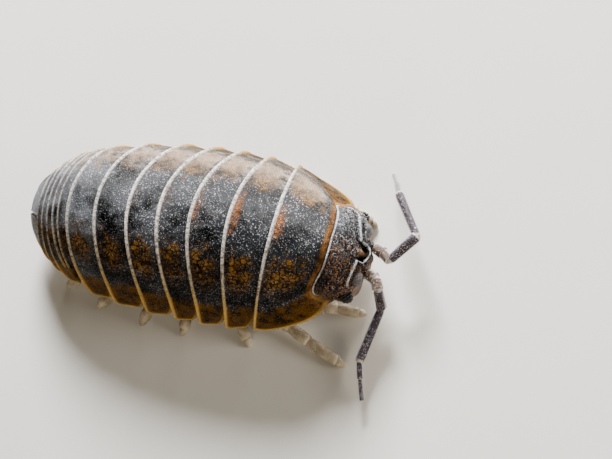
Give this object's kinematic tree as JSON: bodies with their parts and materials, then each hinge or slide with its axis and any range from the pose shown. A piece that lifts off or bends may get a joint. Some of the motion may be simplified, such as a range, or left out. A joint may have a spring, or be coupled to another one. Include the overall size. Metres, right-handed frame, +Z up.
{
  "type": "woodlouse",
  "caption": "Life-size still model of a common pill woodlouse walking: arched slate-black shell plates with pale rims, amber side lobes, angled feelers and pale legs.",
  "frame": {"origin": "on the floor, under the middle of the whole animal's bounding box, feelers and legs included", "axes": "+X towards the head, +Y towards the animal's left side, +Z up"},
  "size_m": [0.0196, 0.0108, 0.0054],
  "materials": {
    "shell": "satin slate-black chitin, finely grained, with pale rear rims and amber side lobes",
    "tail_shell": "satin slate-grey chitin with pale rims",
    "head_shell": "satin dark grey-brown chitin, grained",
    "eye": "glossy black, finely faceted",
    "mouth": "pale horn, satin",
    "feeler": "grey-violet chitin with pale granules and joints",
    "leg": "pale cream-grey chitin, slightly see-through",
    "gill": "off-white, soft satin"
  },
  "bodies": {
    "root": {"head": "head_shell", "eye_left": "eye", "eye_right": "eye", "mouthparts": "mouth", "feeler_left": "feeler", "feeler_right": "feeler", "plate_1": "shell", "plate_2": "shell", "plate_3": "shell", "plate_4": "shell", "plate_5": "shell", "plate_6": "shell", "plate_7": "shell", "tail_rings": "tail_shell", "tail_plate": "tail_shell", "tail_flap_left": "tail_shell", "tail_flap_right": "tail_shell", "gill_plates": "gill", "leg_left_1": "leg", "leg_left_2": "leg", "leg_left_3": "leg", "leg_left_4": "leg", "leg_left_5": "leg", "leg_left_6": "leg", "leg_left_7": "leg", "leg_right_1": "leg", "leg_right_2": "leg", "leg_right_3": "leg", "leg_right_4": "leg", "leg_right_5": "leg", "leg_right_6": "leg", "leg_right_7": "leg"}
  },
  "joints": []
}
